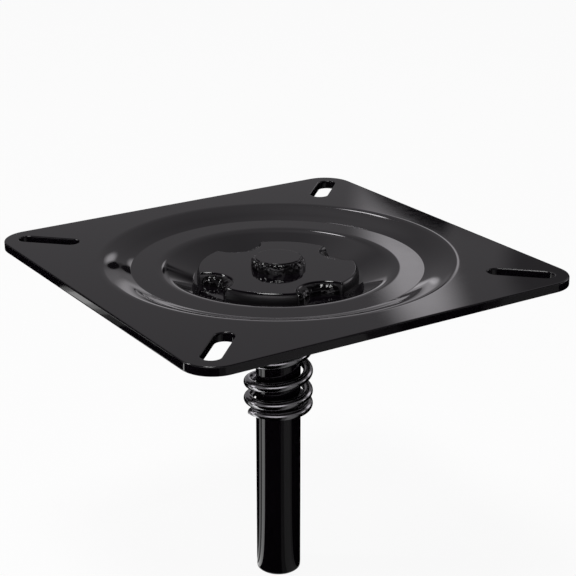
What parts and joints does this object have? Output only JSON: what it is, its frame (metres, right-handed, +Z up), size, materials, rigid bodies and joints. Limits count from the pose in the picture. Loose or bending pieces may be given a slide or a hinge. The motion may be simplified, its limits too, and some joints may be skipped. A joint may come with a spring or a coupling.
{
  "type": "boat seat pedestal mount",
  "caption": "Square pressed steel seat plate with a dished centre, corner slots, a round pin below and a coil spring on the pin.",
  "frame": {"origin": "on the pin's axis, level with the flat top face of the plate where the seat rests", "axes": "+Z up towards the seat, the pin hangs along -Z; the plate's corners and their slots lie on the X and Y axes, so its sides run at 45 degrees to them"},
  "size_m": [0.2366, 0.2366, 0.1445],
  "materials": {
    "black_coating": "gloss black coating over steel",
    "coated_weld": "rough weld metal under gloss black coating",
    "spring_wire": "dark polished spring wire"
  },
  "bodies": {
    "root": {"seat_plate": "black_coating", "scalloped_disc": "black_coating", "pedestal_pin": "black_coating", "pin_weld": "coated_weld", "notch_weld_1": "coated_weld", "notch_weld_2": "coated_weld", "notch_weld_3": "coated_weld", "notch_weld_4": "coated_weld", "friction_spring": "spring_wire", "spring_tack": "coated_weld"}
  },
  "joints": []
}
